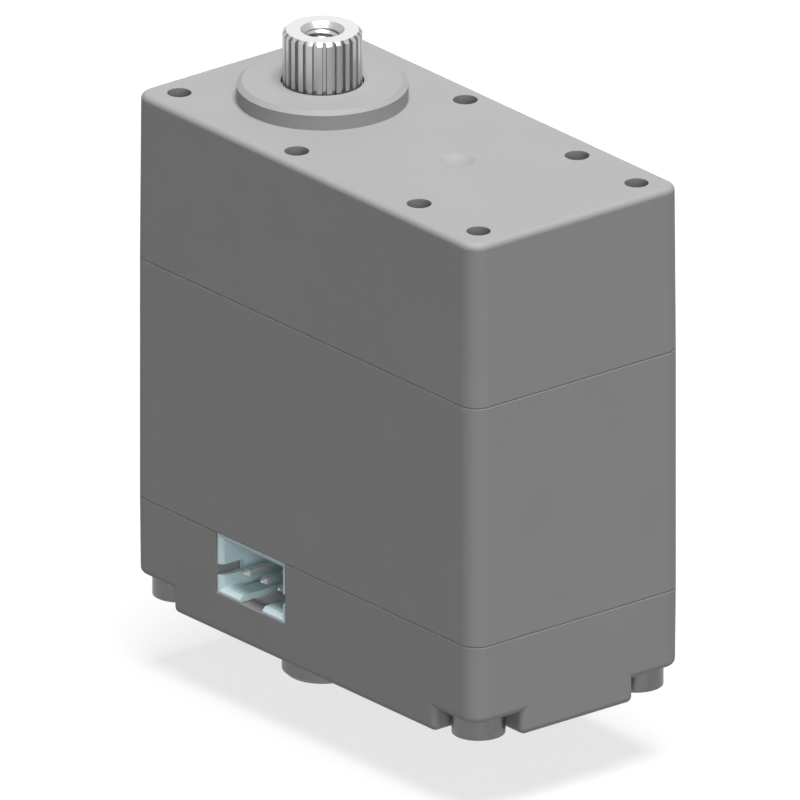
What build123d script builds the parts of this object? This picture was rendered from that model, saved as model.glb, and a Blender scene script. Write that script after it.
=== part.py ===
from build123d import *
import os
from math import acos, cos, pi, radians, sin, tan

os.makedirs("parts", exist_ok=True)

# Driving dimensions, in millimetres and degrees.
# The origin is on the output axis, level with the underside of the case. +Z points out of the output
# shaft, +X towards the far end of the case, and -Y out of the connector.

# Case
case_length = 40.0
case_width = 20.0
bottom_cover_height = 8.0
middle_case_height = 19.0
top_case_height = 13.0
output_inset = 10.0
corner_radius = 1.5
inner_corner_radius = 0.5
edge_fillet = 0.5
top_draft = 0.4
bottom_draft = 0.6
side_wall = 1.25
top_plate = 1.4
floor_plate = 1.5
deck_plate = 1.5
lip_thickness = 0.5
lip_height = 0.8
lip_clearance = 0.1
seam_chamfer = 0.08

# Output boss and its ball bearing
boss_diameter = 12.7
boss_height = 1.45
boss_chamfer_width = 0.4
boss_chamfer_height = 0.3
boss_cap = 0.85
shaft_hole_gap = 0.1
bearing_bore = 6.0
bearing_diameter = 10.0
bearing_width = 3.0
bearing_seat_wall = 1.35
ball_diameter = 1.2
ball_count = 8
groove_gap = 0.02
bearing_ring_share = 0.325
cage_ring_gap = 0.1
cage_drop = 0.9
cage_rise = 0.15
cage_pocket_gap = 0.04

# Case screws, in from the underside
case_screw_inset = 2.5
case_screw_diameter = 2.0
case_screw_core = 1.76
case_screw_hole = 2.3
case_screw_pilot = 1.8
case_screw_head = 4.0
case_screw_head_height = 1.6
case_screw_length = 30.0
recess_depth = 0.9
recess_width = 0.55
recess_span = 2.2
pillar_diameter = 4.0

# Corner notches in the bottom cover
notch_side = 4.7
notch_height = 1.85
notch_fillet = 0.5
ledge_plate = 1.5

# Holes and gate mark in the top face
mount_hole_diameter = 1.85
mount_hole_depth = 4.0
mount_boss_diameter = 3.7
mount_boss_end = 0.6
front_hole_x = 6.85
front_hole_spacing = 16.0
rear_hole_x = 20.55
rear_hole_spacing = 15.0
dimple_x = 15.7
dimple_diameter = 2.75
dimple_depth = 0.4

# Gear train
pressure_angle = 20.0
backlash = 0.05
profile_shift = 0.4
root_depth = 1.25
gear_spacing = 10.0
motor_spacing = 9.0
motor_pinion_teeth = 10
first_wheel_teeth = 50
first_pinion_teeth = 10
second_wheel_teeth = 40
second_pinion_teeth = 13
third_wheel_teeth = 37
third_pinion_teeth = 10
output_wheel_teeth = 30
first_face = 1.6
second_face = 1.8
third_face = 1.8
output_face = 3.0
level_gap = 0.4
axial_play = 0.1
web_recess = 0.5
web_border = 1.2
neck_step = 0.3
gear_room = 0.25

# Gear pin, washers and bush
gear_pin_diameter = 2.0
gear_pin_top_seat = 0.6
gear_pin_boss = 4.0
washer_diameter = 3.8
washer_thickness = 0.3
running_gap = 0.03
stem_diameter = 3.0
stem_tail = 0.4
bush_diameter = 5.0
bush_length = 2.5
bush_flange_diameter = 6.5
bush_flange = 0.5
bush_boss_wall = 1.25

# Output shaft
spline_teeth = 25
spline_diameter = 5.9
spline_root_diameter = 5.36
spline_length = 4.05
spline_run_out = 0.3
spline_end_diameter = 5.4
spline_chamfer = 0.25
spline_tip_share = 0.26
spline_root_share = 0.16
horn_screw_bore = 2.5
horn_screw_mouth = 3.3
horn_screw_depth = 8.0
collar_diameter = 7.4
wheel_seat_diameter = 5.0
wheel_seat_flats = 4.2

# Motor
can_diameter = 15.5
can_length = 17.5
can_wall = 0.5
can_fillet = 0.8
nose_diameter = 6.0
nose_height = 1.2
nose_gap = 0.15
end_cap_height = 2.4
end_cap_floor = 1.2
end_cap_spigot = 1.2
end_cap_wall = 1.4
motor_shaft_diameter = 1.5
motor_bush_diameter = 3.6
motor_bush_length = 1.6
magnet_thickness = 1.2
magnet_length = 10.0
magnet_arc = 120.0
rotor_gap = 0.4
rotor_length = 8.0
rotor_hub_diameter = 4.0
pole_count = 3
pole_width = 2.4
pole_shoe = 0.9
pole_shoe_arc = 92.0
coil_depth = 1.1
coil_end = 0.9
coil_gap = 0.1
commutator_diameter = 3.2
commutator_length = 1.8
brush_thickness = 0.25
brush_width = 1.0
terminal_radius = 5.0
terminal_thickness = 0.4
terminal_width = 1.4
terminal_tail = 0.3
motor_screw_radius = 5.4
motor_screw_diameter = 1.6
motor_screw_gap = 0.15
motor_screw_head = 3.0
motor_screw_head_height = 0.9
motor_screw_reach = 1.3
motor_wall_gap = 0.3
cradle_spread = 3.5
cradle_rib = 1.2
cradle_gap = 0.1

# Control board
board_rise = 0.7
board_thickness = 1.0
board_margin = 0.3
board_slot_gap = 0.2
rest_size = 2.0
rest_spread = 9.0
leg_thickness = 0.9
leg_width = 1.0
leg_spot = 3.15
leg_root = 1.6
leg_lip_gap = 0.15

# Connector: a header with three pins in a row
header_x = 3.85
header_width = 7.9
header_height = 4.75
header_depth = 7.6
header_setback = 0.1
header_wall = 0.5
header_cavity_depth = 5.9
header_chamfer = 0.3
header_slot_low = 1.4
header_slot_high = 2.3
header_slot_depth = 2.15
header_groove_width = 0.73
header_groove_start = 1.7
header_cut_width = 2.6
header_cut_depth = 4.6
header_guide = 0.8
header_guide_reach = 2.6
header_guide_lift = 0.1
pin_count = 3
pin_pitch = 2.0
pin_size = 0.5
pin_rise = 1.85
pin_tip_setback = 1.0
pin_point = 0.35
pin_point_angle = 24.0
pin_bend_setback = 0.9
pin_tail = 0.4
pin_hole_diameter = 0.9
opening_gap = 0.15
opening_drop = 0.05

# Position sensor under the deck
sensor_magnet_diameter = 4.0
sensor_magnet_height = 1.5
sensor_gap = 0.8
sensor_chip_size = 3.0
sensor_chip_height = 0.9
sensor_board_length = 10.4
sensor_board_width = 14.0
sensor_board_thickness = 0.8
sensor_post_diameter = 3.2
sensor_post_spread = 5.2
sensor_screw_core = 1.3
sensor_screw_hole = 1.6
sensor_screw_head = 2.6
sensor_screw_head_height = 0.8
sensor_screw_reach = 2.4
ribbon_width = 5.0
ribbon_thickness = 0.2
ribbon_foot = 2.4
ribbon_bend = 0.8
ribbon_gap = 0.3

# Components on the control board
controller_size = 5.0
controller_height = 0.9
controller_spot = (4.2, 3.6)
driver_length = 5.0
driver_width = 4.0
driver_height = 1.4
driver_x = 13.2
driver_inset = 5.4
capacitor_diameter = 5.0
capacitor_height = 6.5
capacitor_edge = 0.5
capacitor_x = -1.3
capacitor_inset = 5.4
resistor_length = 1.6
resistor_width = 0.8
resistor_height = 0.5
resistor_step = 1.4
resistor_rows = ((9.9, -5.9), (9.9, 1.3), (18.8, 0.0))
resistor_row_counts = (2, 2, 3)

# Idler post under the output axis
idler_diameter = 6.0
idler_length = 5.5
idler_chamfer = 0.32
idler_neck_diameter = 6.6
idler_flange_diameter = 8.5
idler_flange = 0.5
idler_bore = 2.5
idler_mouth = 3.3
idler_bore_depth = 6.0

# Places along and across the case
near_end = -output_inset
far_end = case_length - output_inset
case_middle = (near_end + far_end) / 2
half_width = case_width / 2
motor_x = min(gear_spacing + motor_spacing, far_end - side_wall - motor_wall_gap - can_diameter / 2)
screw_x = (near_end + case_screw_inset, far_end - case_screw_inset)
screw_y = (case_screw_inset - half_width, half_width - case_screw_inset)
screw_spots = [(x, y) for x in screw_x for y in screw_y]
mount_holes = [(front_hole_x, side * front_hole_spacing / 2) for side in (-1, 1)]
mount_holes += [(rear_hole_x, side * rear_hole_spacing / 2) for side in (-1, 1)]
motor_screw_spots = [(motor_x, side * motor_screw_radius) for side in (-1, 1)]
sensor_post_spots = [(0.0, side * sensor_post_spread) for side in (-1, 1)]
driver_spots = [(driver_x, side * (half_width - driver_inset)) for side in (-1, 1)]
resistor_spots = []
for (row_x, row_y), row_count in zip(resistor_rows, resistor_row_counts):
    for number in range(row_count):
        resistor_spots.append((row_x, row_y + resistor_step * (number - (row_count - 1) / 2)))

# Heights of the case sections
middle_base = bottom_cover_height
top_base = middle_base + middle_case_height
case_top = top_base + top_case_height
ceiling = case_top - top_plate
deck_under = top_base - deck_plate
boss_top = case_top + boss_height
spline_top = boss_top + spline_length
bearing_high = boss_top - boss_cap
bearing_low = bearing_high - bearing_width
bearing_middle = (bearing_low + bearing_high) / 2
bearing_section = (bearing_diameter - bearing_bore) / 2
bearing_ring = bearing_ring_share * bearing_section
cage_thickness = bearing_section - 2 * (bearing_ring + cage_ring_gap)

# Heights of the four gear levels, from the deck up
first_low = top_base + washer_thickness + axial_play
first_high = first_low + first_face
second_low = first_high + level_gap
second_high = second_low + second_face
third_low = second_high + level_gap
third_high = third_low + third_face
output_low = third_high + level_gap
output_high = output_low + output_face
pin_boss_low = output_high + axial_play + washer_thickness
pin_high = ceiling + gear_pin_top_seat

# Heights below the deck
bush_low = top_base - bush_length
stem_low = bush_low - bush_flange - stem_tail
sensor_magnet_low = stem_low - sensor_magnet_height
sensor_chip_high = sensor_magnet_low - sensor_gap
sensor_board_high = sensor_chip_high - sensor_chip_height
sensor_board_low = sensor_board_high - sensor_board_thickness
board_low = floor_plate + board_rise
board_high = board_low + board_thickness
can_low = deck_under - can_length
can_top = deck_under
nose_top = can_top + nose_height
end_cap_low = can_low - end_cap_height
magnet_low = (can_low + end_cap_spigot + can_top - can_wall - magnet_length) / 2
rotor_low = magnet_low + (magnet_length - rotor_length) / 2
commutator_low = end_cap_low + motor_bush_length + axial_play
brush_low = commutator_low + (commutator_length - brush_width) / 2
brush_high = brush_low + brush_width

# Gear modules follow from the distances between the axes and the tooth counts
first_module = 2 * (motor_x - gear_spacing) / (motor_pinion_teeth + first_wheel_teeth)
second_module = 2 * gear_spacing / (first_pinion_teeth + second_wheel_teeth)
third_module = 2 * gear_spacing / (second_pinion_teeth + third_wheel_teeth)
output_module = 2 * gear_spacing / (third_pinion_teeth + output_wheel_teeth)

# Radii inside the motor
can_bore = can_diameter / 2 - can_wall
rotor_radius = can_bore - magnet_thickness - rotor_gap

# Faces of the connector
header_front = header_setback - half_width
header_back = header_front + header_depth
header_left = header_x - header_width / 2
header_right = header_x + header_width / 2
header_top = board_high + header_height
pin_z = board_high + pin_rise
pin_tip = header_front + pin_tip_setback
pin_bend = header_back + pin_bend_setback
pin_places = [header_x + pin_pitch * (number - (pin_count - 1) / 2) for number in range(pin_count)]


# Simple shapes


def rod(diameter, low, high, x=0.0, y=0.0):
    """An upright cylinder."""
    return Pos(x, y, low) * extrude(Circle(diameter / 2), high - low)


def tube(outer, inner, low, high, x=0.0, y=0.0):
    """An upright ring, its ends square to the axis."""
    return Pos(x, y, low) * extrude(Circle(outer / 2) - Circle(inner / 2), high - low)


def block(low, high):
    """A box between its lowest and highest corners."""
    size = [b - a for a, b in zip(low, high)]
    middle = [(a + b) / 2 for a, b in zip(low, high)]
    return Pos(*middle) * Box(*size)


def slab(length, width, low, high, x=0.0, y=0.0):
    """A box centred on an upright axis."""
    return Pos(x, y, low) * extrude(Rectangle(length, width), high - low)


def turned(corners, x=0.0, y=0.0):
    """A solid turned about an upright axis from (radius, height) corners."""
    outline = Polyline(*[(radius, 0, height) for radius, height in corners], close=True)
    return Pos(x, y, 0) * revolve(make_face(outline), Axis.Z)


def ring_sector(outer, inner, middle_angle, arc, low, high):
    """Part of an upright ring, in radii and degrees."""
    half = arc / 2
    reach = outer / cos(radians(half / 2))
    corners = [polar(reach, radians(middle_angle + turn)) for turn in (-half, 0, half)]
    wedge = make_face(Polyline((0, 0), *corners, close=True))
    return Pos(0, 0, low) * extrude((Circle(outer) - Circle(inner)) & wedge, high - low)


def case_prism(inset, low, high, taper=0.0):
    """The case outline drawn in by inset and extruded from low to high, which may be below it."""
    corner = max(corner_radius - inset, inner_corner_radius)
    outline = RectangleRounded(case_length - 2 * inset, case_width - 2 * inset, corner)
    direction = (0, 0, 1 if high > low else -1)
    return extrude(Pos(case_middle, 0, low) * outline, abs(high - low), dir=direction, taper=taper)


def rods(diameter, low, high, spots):
    """The same upright cylinder at each spot."""
    return [rod(diameter, low, high, x, y) for x, y in spots]


def group(pieces):
    """Several loose pieces as one set of solids."""
    return Compound([solid for piece in pieces for solid in piece.solids()])


# Gears


def involute(base, radius):
    """Involute function at a radius, in radians."""
    angle = acos(min(1.0, base / radius))
    return tan(angle) - angle


def tip_radius(teeth, module, shift):
    return module * (teeth / 2 + 1 + shift)


def root_radius(teeth, module, shift):
    return module * (teeth / 2 - root_depth + shift)


def polar(radius, angle):
    return (radius * cos(angle), radius * sin(angle))


def gear_face(teeth, module, shift, first_tooth):
    """Outline of a spur gear with involute flanks, one of its teeth centred at the angle first_tooth."""
    pitch = module * teeth / 2
    base = pitch * cos(radians(pressure_angle))
    tip = tip_radius(teeth, module, shift)
    root = root_radius(teeth, module, shift)
    start = max(base, root)
    middle = (start + tip) / 2
    step = 2 * pi / teeth
    half_pitch = (pi / 2 + 2 * shift * tan(radians(pressure_angle))) / teeth - backlash / (2 * pitch)
    half_base = half_pitch + involute(base, pitch)
    halves = [half_base - involute(base, radius) for radius in (start, middle, tip)]
    half_start, half_middle, half_tip = halves
    edges = []
    for number in range(teeth):
        centre = first_tooth + number * step
        for side in (-1, 1):
            foot = polar(start, centre + side * half_start)
            face = polar(middle, centre + side * half_middle)
            end = polar(tip, centre + side * half_tip)
            edges.append(ThreePointArc(foot, face, end))
            if start > root:
                edges.append(Line(polar(root, centre + side * half_start), foot))
        left, right = polar(tip, centre - half_tip), polar(tip, centre + half_tip)
        edges.append(ThreePointArc(left, polar(tip, centre), right))
        left, right = polar(root, centre + half_start), polar(root, centre + step - half_start)
        edges.append(ThreePointArc(left, polar(root, centre + step / 2), right))
    return make_face(edges)


def neck_diameter(teeth, module):
    """Plain neck of a pinion, pressed through the wheel below it."""
    return 2 * root_radius(teeth, module, profile_shift) - neck_step


def wheel(teeth, module, low, high, bore, x, first_tooth):
    """A large gear whose web is recessed on the upper side between hub and rim."""
    gear = extrude(gear_face(teeth, module, -profile_shift, first_tooth) - bore, high - low)
    rim = 2 * (root_radius(teeth, module, -profile_shift) - web_border)
    hub = bore.bounding_box().size.X + 2 * web_border
    gear -= tube(rim, hub, high - low - web_recess, high - low)
    return Pos(x, 0, low) * gear


def pinion(teeth, module, low, high, bore, x, first_tooth):
    """A small gear cut in solid bar."""
    face = gear_face(teeth, module, profile_shift, first_tooth) - Circle(bore / 2)
    return Pos(x, 0, low) * extrude(face, high - low)


# The plain bore of each wheel, and the flatted seat of the output wheel
first_neck = neck_diameter(first_pinion_teeth, second_module)
second_neck = neck_diameter(second_pinion_teeth, third_module)
third_neck = neck_diameter(third_pinion_teeth, output_module)


def output_seat():
    return Circle(wheel_seat_diameter / 2) & Rectangle(wheel_seat_diameter, wheel_seat_flats)


def make_first_wheel():
    bore = Circle(first_neck / 2)
    turn = pi / first_wheel_teeth
    return wheel(first_wheel_teeth, first_module, first_low, first_high, bore, gear_spacing, turn)


def make_first_pinion():
    bore = gear_pin_diameter + 2 * running_gap
    top = third_low - axial_play
    teeth = pinion(first_pinion_teeth, second_module, first_high, top, bore, gear_spacing, pi)
    return teeth + tube(first_neck, bore, first_low, first_high, gear_spacing)


def make_second_wheel():
    bore = Circle(second_neck / 2)
    turn = pi / second_wheel_teeth
    return wheel(second_wheel_teeth, second_module, second_low, second_high, bore, 0.0, turn)


def make_second_pinion():
    bore = stem_diameter + 2 * running_gap
    top = output_low - axial_play
    teeth = pinion(second_pinion_teeth, third_module, second_high, top, bore, 0.0, 0.0)
    return teeth + tube(second_neck, bore, top_base + axial_play, second_high)


def make_third_wheel():
    bore = Circle(third_neck / 2)
    turn = pi + pi / third_wheel_teeth
    return wheel(third_wheel_teeth, third_module, third_low, third_high, bore, gear_spacing, turn)


def make_third_pinion():
    bore = gear_pin_diameter + 2 * running_gap
    teeth = pinion(third_pinion_teeth, output_module, third_high, output_high, bore, gear_spacing, pi)
    return teeth + tube(third_neck, bore, third_low, third_high, gear_spacing)


def make_output_wheel():
    turn = pi / output_wheel_teeth
    return wheel(output_wheel_teeth, output_module, output_low, output_high, output_seat(), 0.0, turn)


def make_motor_pinion():
    top = first_high + level_gap / 2
    return pinion(motor_pinion_teeth, first_module, first_low, top, motor_shaft_diameter, motor_x, pi)


def make_gear_pin():
    return rod(gear_pin_diameter, deck_under, pin_high, gear_spacing)


def make_pin_washers():
    bore = gear_pin_diameter + 2 * running_gap
    lows = (top_base, pin_boss_low - washer_thickness)
    return group([tube(washer_diameter, bore, low, low + washer_thickness, gear_spacing) for low in lows])


# The case


def eased(prism, low=False, high=False):
    """A case section with its outer edges broken where it meets the next one."""
    faces = prism.faces().sort_by(Axis.Z)
    ends = [face for face, wanted in ((faces[0], low), (faces[-1], high)) if wanted]
    edges = [edge for face in ends for edge in face.outer_wire().edges()]
    return chamfer(edges, seam_chamfer)


def lip(low):
    """A locating rim inside the wall of the next case section, on a root inside its own section's wall."""
    inset = side_wall + lip_clearance
    inner = case_prism(inset + lip_thickness, low - lip_height, low + lip_height)
    rim = case_prism(inset, low, low + lip_height) - inner
    rim -= rods(pillar_diameter + 2 * lip_clearance, low, low + lip_height, screw_spots)
    return rim + (case_prism(side_wall, low - lip_height, low) - inner)


def gear_rooms():
    """Room for the wheels to turn, which pillars and bosses keep out of."""
    rooms = []
    for teeth, module, low, high, x in (
        (first_wheel_teeth, first_module, first_low, first_high, gear_spacing),
        (second_wheel_teeth, second_module, second_low, second_high, 0.0),
        (third_wheel_teeth, third_module, third_low, third_high, gear_spacing),
        (output_wheel_teeth, output_module, output_low, output_high, 0.0),
    ):
        radius = tip_radius(teeth, module, -profile_shift) + gear_room
        rooms.append(rod(2 * radius, low - level_gap / 2, high + level_gap / 2, x))
    return rooms


def make_top_case():
    outer = eased(case_prism(0, top_base, case_top, top_draft), low=True)
    outer = fillet(outer.faces().sort_by(Axis.Z)[-1].outer_wire().edges(), edge_fillet)
    boss_radius = boss_diameter / 2
    outer += turned(
        [
            (0, ceiling),
            (boss_radius, ceiling),
            (boss_radius, boss_top - boss_chamfer_height),
            (boss_radius - boss_chamfer_width, boss_top),
            (0, boss_top),
        ]
    )
    mount_boss_low = case_top - mount_hole_depth - mount_boss_end
    hollow = case_prism(side_wall, top_base, ceiling)
    hollow -= rods(pillar_diameter, top_base, ceiling, screw_spots)
    hollow -= rods(mount_boss_diameter, mount_boss_low, ceiling, mount_holes)
    hollow -= rod(bearing_diameter + 2 * bearing_seat_wall, bearing_low, ceiling)
    hollow -= rod(gear_pin_boss, pin_boss_low, ceiling, gear_spacing)
    hollow += gear_rooms()
    shell = outer - hollow
    shell -= rod(bearing_diameter, bearing_low, bearing_high)
    shell -= rod(bearing_bore + 2 * shaft_hole_gap, bearing_high, boss_top)
    shell -= rod(gear_pin_diameter, pin_boss_low, pin_high, gear_spacing)
    shell -= rods(case_screw_pilot, top_base, case_top, screw_spots)
    shell -= rods(mount_hole_diameter, case_top - mount_hole_depth, case_top, mount_holes)
    dimple_radius = (dimple_diameter**2 / 4 + dimple_depth**2) / (2 * dimple_depth)
    return shell - Pos(dimple_x, 0, case_top - dimple_depth + dimple_radius) * Sphere(dimple_radius)


def above_lip():
    """Lowest height in the middle section that the rim of the bottom cover leaves free."""
    return middle_base + lip_height + lip_clearance


def motor_cradle():
    """Upright ribs on the side walls that hold the motor sideways."""
    inside = case_width - 2 * side_wall
    room = rod(can_diameter + 2 * cradle_gap, above_lip(), deck_under, motor_x)
    places = (motor_x - cradle_spread, motor_x + cradle_spread)
    return [slab(cradle_rib, inside, above_lip(), deck_under, x) - room for x in places]


def board_legs():
    """Legs that reach down from the end walls, inside the lower rim, and hold the board on its rests."""
    legs = []
    rim = side_wall + lip_clearance + lip_thickness + leg_lip_gap
    root_top = above_lip() + leg_root
    for wall, inward in ((near_end, 1), (far_end, -1)):
        outer_x = wall + inward * side_wall
        leg_x = wall + inward * rim
        inner_x = leg_x + inward * leg_thickness
        for y in (-leg_spot, leg_spot):
            y_low, y_high = y - leg_width / 2, y + leg_width / 2
            x_low, x_high = sorted((leg_x, inner_x))
            legs.append(block((x_low, y_low, board_high), (x_high, y_high, root_top)))
            x_low, x_high = sorted((outer_x, inner_x))
            legs.append(block((x_low, y_low, above_lip()), (x_high, y_high, root_top)))
    return legs


def make_middle_case():
    shell = eased(case_prism(0, middle_base, top_base), low=True, high=True)
    hollow = case_prism(side_wall, middle_base, deck_under)
    hollow -= rods(pillar_diameter, middle_base, deck_under, screw_spots)
    hollow -= rod(bush_diameter + 2 * bush_boss_wall, bush_low, deck_under)
    hollow -= rods(sensor_post_diameter, sensor_board_high, deck_under, sensor_post_spots)
    hollow -= motor_cradle()
    shell -= hollow
    shell += board_legs()
    shell += lip(top_base)
    shell -= rods(case_screw_hole, middle_base, top_base, screw_spots)
    shell -= rod(bush_diameter, bush_low, top_base)
    shell -= rod(gear_pin_diameter, deck_under, top_base, gear_spacing)
    shell -= rod(nose_diameter + 2 * nose_gap, deck_under, top_base, motor_x)
    shell -= rods(motor_screw_diameter + 2 * motor_screw_gap, deck_under, top_base, motor_screw_spots)
    pilot_top = sensor_board_high + sensor_screw_reach
    return shell - rods(sensor_screw_core, sensor_board_high, pilot_top, sensor_post_spots)


def corner_box(spot, side, low, high):
    """A box of the given side in the case corner that holds a screw."""
    x = near_end if spot[0] < case_middle else far_end
    y = -half_width if spot[1] < 0 else half_width
    inner_x = x + side if spot[0] < case_middle else x - side
    inner_y = y + side if spot[1] < 0 else y - side
    return block((min(x, inner_x), min(y, inner_y), low), (max(x, inner_x), max(y, inner_y), high))


def notch_edges(shell):
    """Outer edges round the underside and its four notches, without the inner corners."""
    wall_x = (near_end + notch_side, far_end - notch_side)
    wall_y = half_width - notch_side
    edges = list(shell.faces().sort_by(Axis.Z)[0].outer_wire().edges())
    for edge in shell.edges():
        middle = edge.center()
        on_wall_x = min(abs(middle.X - x) for x in wall_x) < lip_clearance
        on_wall_y = abs(abs(middle.Y) - wall_y) < lip_clearance
        upright = abs(edge.tangent_at(0.5).Z) > 0.9 and middle.Z < notch_height
        on_ledge = abs(middle.Z - notch_height) < 0.01
        if upright and on_wall_x != on_wall_y:
            edges.append(edge)
        if on_ledge and not on_wall_x and not on_wall_y:
            edges.append(edge)
    return edges


def header_guides():
    """Upright ribs that run in from the wall on each side of the connector."""
    front = side_wall - half_width
    low, high = board_high + header_guide_lift, middle_base
    guides = []
    for x_low in (header_left - opening_gap - header_guide, header_right + opening_gap):
        guides.append(block((x_low, front, low), (x_low + header_guide, front + header_guide_reach, high)))
    return guides


def make_bottom_cover():
    shell = eased(case_prism(0, middle_base, 0, bottom_draft), high=True)
    shell -= [corner_box(spot, notch_side, 0, notch_height) for spot in screw_spots]
    shell = fillet(notch_edges(shell), notch_fillet)
    hollow = case_prism(side_wall, floor_plate, middle_base)
    ledge_side = notch_side + side_wall
    hollow -= [corner_box(spot, ledge_side, floor_plate, notch_height + ledge_plate) for spot in screw_spots]
    hollow -= rods(pillar_diameter, floor_plate, middle_base, screw_spots)
    rest_y = half_width - side_wall - rest_size / 2
    for x in (case_middle - rest_spread, case_middle + rest_spread):
        for y in (-rest_y, rest_y):
            hollow -= slab(rest_size, rest_size, floor_plate, board_low, x, y)
    shell -= hollow
    shell += lip(middle_base)
    shell += header_guides()
    shell -= rods(case_screw_hole, notch_height, middle_base, screw_spots)
    shell -= rod(idler_neck_diameter, 0, floor_plate)
    shell -= rod(idler_flange_diameter, floor_plate - idler_flange, floor_plate)
    opening_low = (header_left - opening_gap, -half_width - opening_gap, board_high - opening_drop)
    opening_depth = side_wall + lip_clearance + lip_thickness
    opening_high = (header_right + opening_gap, opening_depth - half_width, middle_base + lip_height)
    return shell - block(opening_low, opening_high)


def cross_recess(low, x, y):
    """A cross cut up into a screw head that faces down."""
    high = low + recess_depth
    return slab(recess_span, recess_width, low, high, x, y) + slab(recess_width, recess_span, low, high, x, y)


def make_case_screws():
    head_low = notch_height - case_screw_head_height
    tip = notch_height + case_screw_length
    shank, core = case_screw_diameter / 2, case_screw_core / 2
    screws = []
    for x, y in screw_spots:
        corners = [
            (0, head_low),
            (case_screw_head / 2, head_low),
            (case_screw_head / 2, notch_height),
            (shank, notch_height),
            (shank, top_base),
            (core, top_base),
            (core, tip - core),
            (0, tip),
        ]
        screws.append(turned(corners, x, y) - cross_recess(head_low, x, y))
    return group(screws)


# The output shaft and its bearings


def spline_face():
    """Straight-sided teeth round the shaft end."""
    tip, root = spline_diameter / 2, spline_root_diameter / 2
    step = 2 * pi / spline_teeth
    half_tip, half_root = spline_tip_share * step, (0.5 - spline_root_share) * step
    edges = []
    for number in range(spline_teeth):
        centre = number * step
        left, right = polar(tip, centre - half_tip), polar(tip, centre + half_tip)
        next_left = polar(root, centre + step - half_root)
        edges.append(ThreePointArc(left, polar(tip, centre), right))
        edges.append(Line(polar(root, centre - half_root), left))
        edges.append(Line(right, polar(root, centre + half_root)))
        edges.append(Line(polar(root, centre + half_root), next_left))
    return make_face(edges)


def make_output_shaft():
    spline_low = boss_top - spline_run_out
    spline = Pos(0, 0, spline_low) * extrude(spline_face(), spline_top - spline_low)
    outer, end = spline_diameter / 2, spline_end_diameter / 2
    spline &= turned(
        [
            (0, spline_low),
            (outer, spline_low),
            (outer, spline_top - spline_chamfer),
            (end, spline_top),
            (0, spline_top),
        ]
    )
    body = rod(stem_diameter, stem_low, output_low)
    body += Pos(0, 0, output_low) * extrude(output_seat(), output_face)
    body += rod(collar_diameter, output_high, bearing_low)
    body += rod(bearing_bore, bearing_low, spline_low)
    mouth = horn_screw_mouth / 2
    bore = horn_screw_bore / 2
    bore_low = spline_top - horn_screw_depth
    mouth_low = spline_top - mouth + bore
    threaded = [(0, bore_low), (bore, bore_low), (bore, mouth_low)]
    return body + spline - turned(threaded + [(mouth, spline_top), (0, spline_top)])


def ball_circle():
    """Radius on which the ball centres lie."""
    return (bearing_bore + bearing_diameter) / 4


def groove():
    return Pos(0, 0, bearing_middle) * Torus(ball_circle(), ball_diameter / 2 + groove_gap)


def make_bearing_outer_ring():
    bore = bearing_diameter - 2 * bearing_ring
    return tube(bearing_diameter, bore, bearing_low, bearing_high) - groove()


def make_bearing_inner_ring():
    outer = bearing_bore + 2 * bearing_ring
    return tube(outer, bearing_bore, bearing_low, bearing_high) - groove()


def balls(diameter):
    step = 360 / ball_count
    first = Pos(ball_circle(), 0, bearing_middle) * Sphere(diameter / 2)
    return [Rot(0, 0, number * step) * first for number in range(ball_count)]


def make_bearing_balls():
    return group(balls(ball_diameter))


def make_bearing_cage():
    middle = 2 * ball_circle()
    low, high = bearing_middle - cage_drop, bearing_middle + cage_rise
    ring = tube(middle + cage_thickness, middle - cage_thickness, low, high)
    return ring - balls(ball_diameter + 2 * cage_pocket_gap)


def make_output_bush():
    bore = stem_diameter / 2 + running_gap
    outer, flange = bush_diameter / 2, bush_flange_diameter / 2
    flange_low = bush_low - bush_flange
    return turned(
        [
            (bore, flange_low),
            (flange, flange_low),
            (flange, bush_low),
            (outer, bush_low),
            (outer, top_base),
            (bore, top_base),
        ]
    )


# The motor


def make_motor_can():
    can = rod(can_diameter, can_low, can_top, motor_x)
    can = fillet(can.faces().sort_by(Axis.Z)[-1].edges(), can_fillet)
    can += rod(nose_diameter, can_top, nose_top, motor_x)
    can -= rod(2 * can_bore, can_low, can_top - can_wall, motor_x)
    can -= rod(motor_bush_diameter, can_top - can_wall, nose_top, motor_x)
    return can - rods(motor_screw_diameter, can_top - can_wall, can_top, motor_screw_spots)


def make_motor_end_cap():
    floor_top = end_cap_low + end_cap_floor
    spigot_top = can_low + end_cap_spigot
    inner = can_bore - end_cap_wall
    bush = motor_bush_diameter / 2
    cap = turned(
        [
            (bush, end_cap_low),
            (can_diameter / 2, end_cap_low),
            (can_diameter / 2, can_low),
            (can_bore, can_low),
            (can_bore, spigot_top),
            (inner, spigot_top),
            (inner, floor_top),
            (bush, floor_top),
        ],
        motor_x,
    )
    return cap - terminal_slabs(end_cap_low, floor_top)


def terminal_slabs(low, high):
    places = (-terminal_radius, terminal_radius)
    return [slab(terminal_width, terminal_thickness, low, high, motor_x, y) for y in places]


def make_motor_terminals():
    return group(terminal_slabs(board_low - terminal_tail, brush_high))


def make_motor_brushes():
    """Two leaves that run in from the terminals and bear on the commutator."""
    near, far = commutator_diameter / 2 + running_gap, terminal_radius - terminal_thickness / 2
    leaves = []
    for side in (-1, 1):
        middle = side * (near + far) / 2
        leaves.append(slab(brush_thickness, far - near, brush_low, brush_high, motor_x, middle))
    return group(leaves)


def make_motor_bushes():
    bore = motor_shaft_diameter + 2 * running_gap
    lows = (end_cap_low, nose_top - motor_bush_length)
    return group([tube(motor_bush_diameter, bore, low, low + motor_bush_length, motor_x) for low in lows])


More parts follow.
